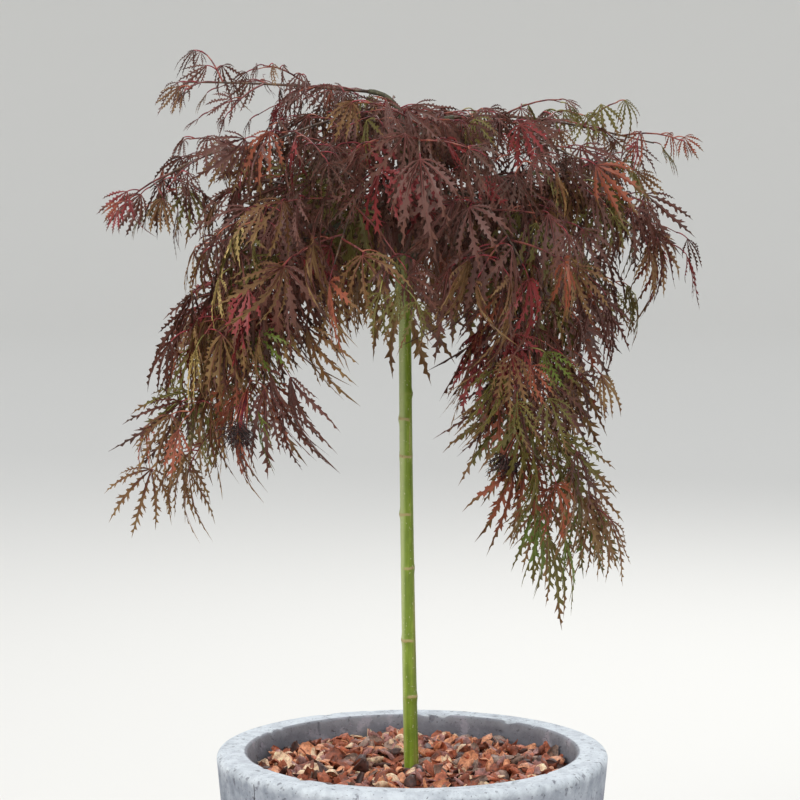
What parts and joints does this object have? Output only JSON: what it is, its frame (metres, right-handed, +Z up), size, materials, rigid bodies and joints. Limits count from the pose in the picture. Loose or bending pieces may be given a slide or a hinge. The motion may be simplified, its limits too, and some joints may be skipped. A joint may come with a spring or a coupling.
{
  "type": "potted weeping laceleaf maple",
  "caption": "Grafted weeping laceleaf maple with purple-red foliage on a slim green stem, in a round grey concrete pot with shell mulch.",
  "frame": {"origin": "centre of the pot's flat underside, on the floor", "axes": "+Z up along the stem; +X to the right and -Y towards the viewer in the front view"},
  "size_m": [0.5489, 0.4652, 0.9076],
  "materials": {
    "pot": "matte light grey cast concrete, faintly mottled",
    "soil": "dark moist peat and bark potting soil",
    "mulch": "dry curled brown shells, mauve to tan",
    "green_bark": "smooth satin olive-green bark with tan scars",
    "dark_bark": "matte dark grey-green bark",
    "leaves_purple": "thin matte purple-brown leaves",
    "leaves_red": "thin matte crimson and rust leaves",
    "leaves_green": "thin matte bronze-green leaves"
  },
  "bodies": {
    "root": {"pot": "pot", "soil": "soil", "mulch": "mulch", "stem": "green_bark", "bough_right_weeping": "dark_bark", "bough_right_top": "dark_bark", "bough_back_top": "dark_bark", "bough_left_top": "dark_bark", "bough_left_weeping": "dark_bark", "bough_front_left": "dark_bark", "bough_front_right": "dark_bark", "bough_right_outer": "dark_bark", "bough_right_inner": "dark_bark", "bough_right_back": "dark_bark", "bough_back": "dark_bark", "bough_back_left": "dark_bark", "bough_left_outer": "dark_bark", "bough_left_inner": "dark_bark", "bough_front_top": "dark_bark", "bough_left_front_top": "dark_bark", "bough_right_front_top": "dark_bark", "foliage_right_weeping": "leaves_red", "foliage_right_top": "leaves_purple", "foliage_back_top": "leaves_purple", "foliage_left_top": "leaves_purple", "foliage_left_weeping": "leaves_green", "foliage_front_left": "leaves_red", "foliage_front_right": "leaves_purple", "foliage_right_outer": "leaves_purple", "foliage_right_inner": "leaves_red", "foliage_right_back": "leaves_red", "foliage_back": "leaves_purple", "foliage_back_left": "leaves_green", "foliage_left_outer": "leaves_purple", "foliage_left_inner": "leaves_green", "foliage_front_top": "leaves_purple", "foliage_left_front_top": "leaves_purple", "foliage_right_front_top": "leaves_purple"}
  },
  "joints": []
}
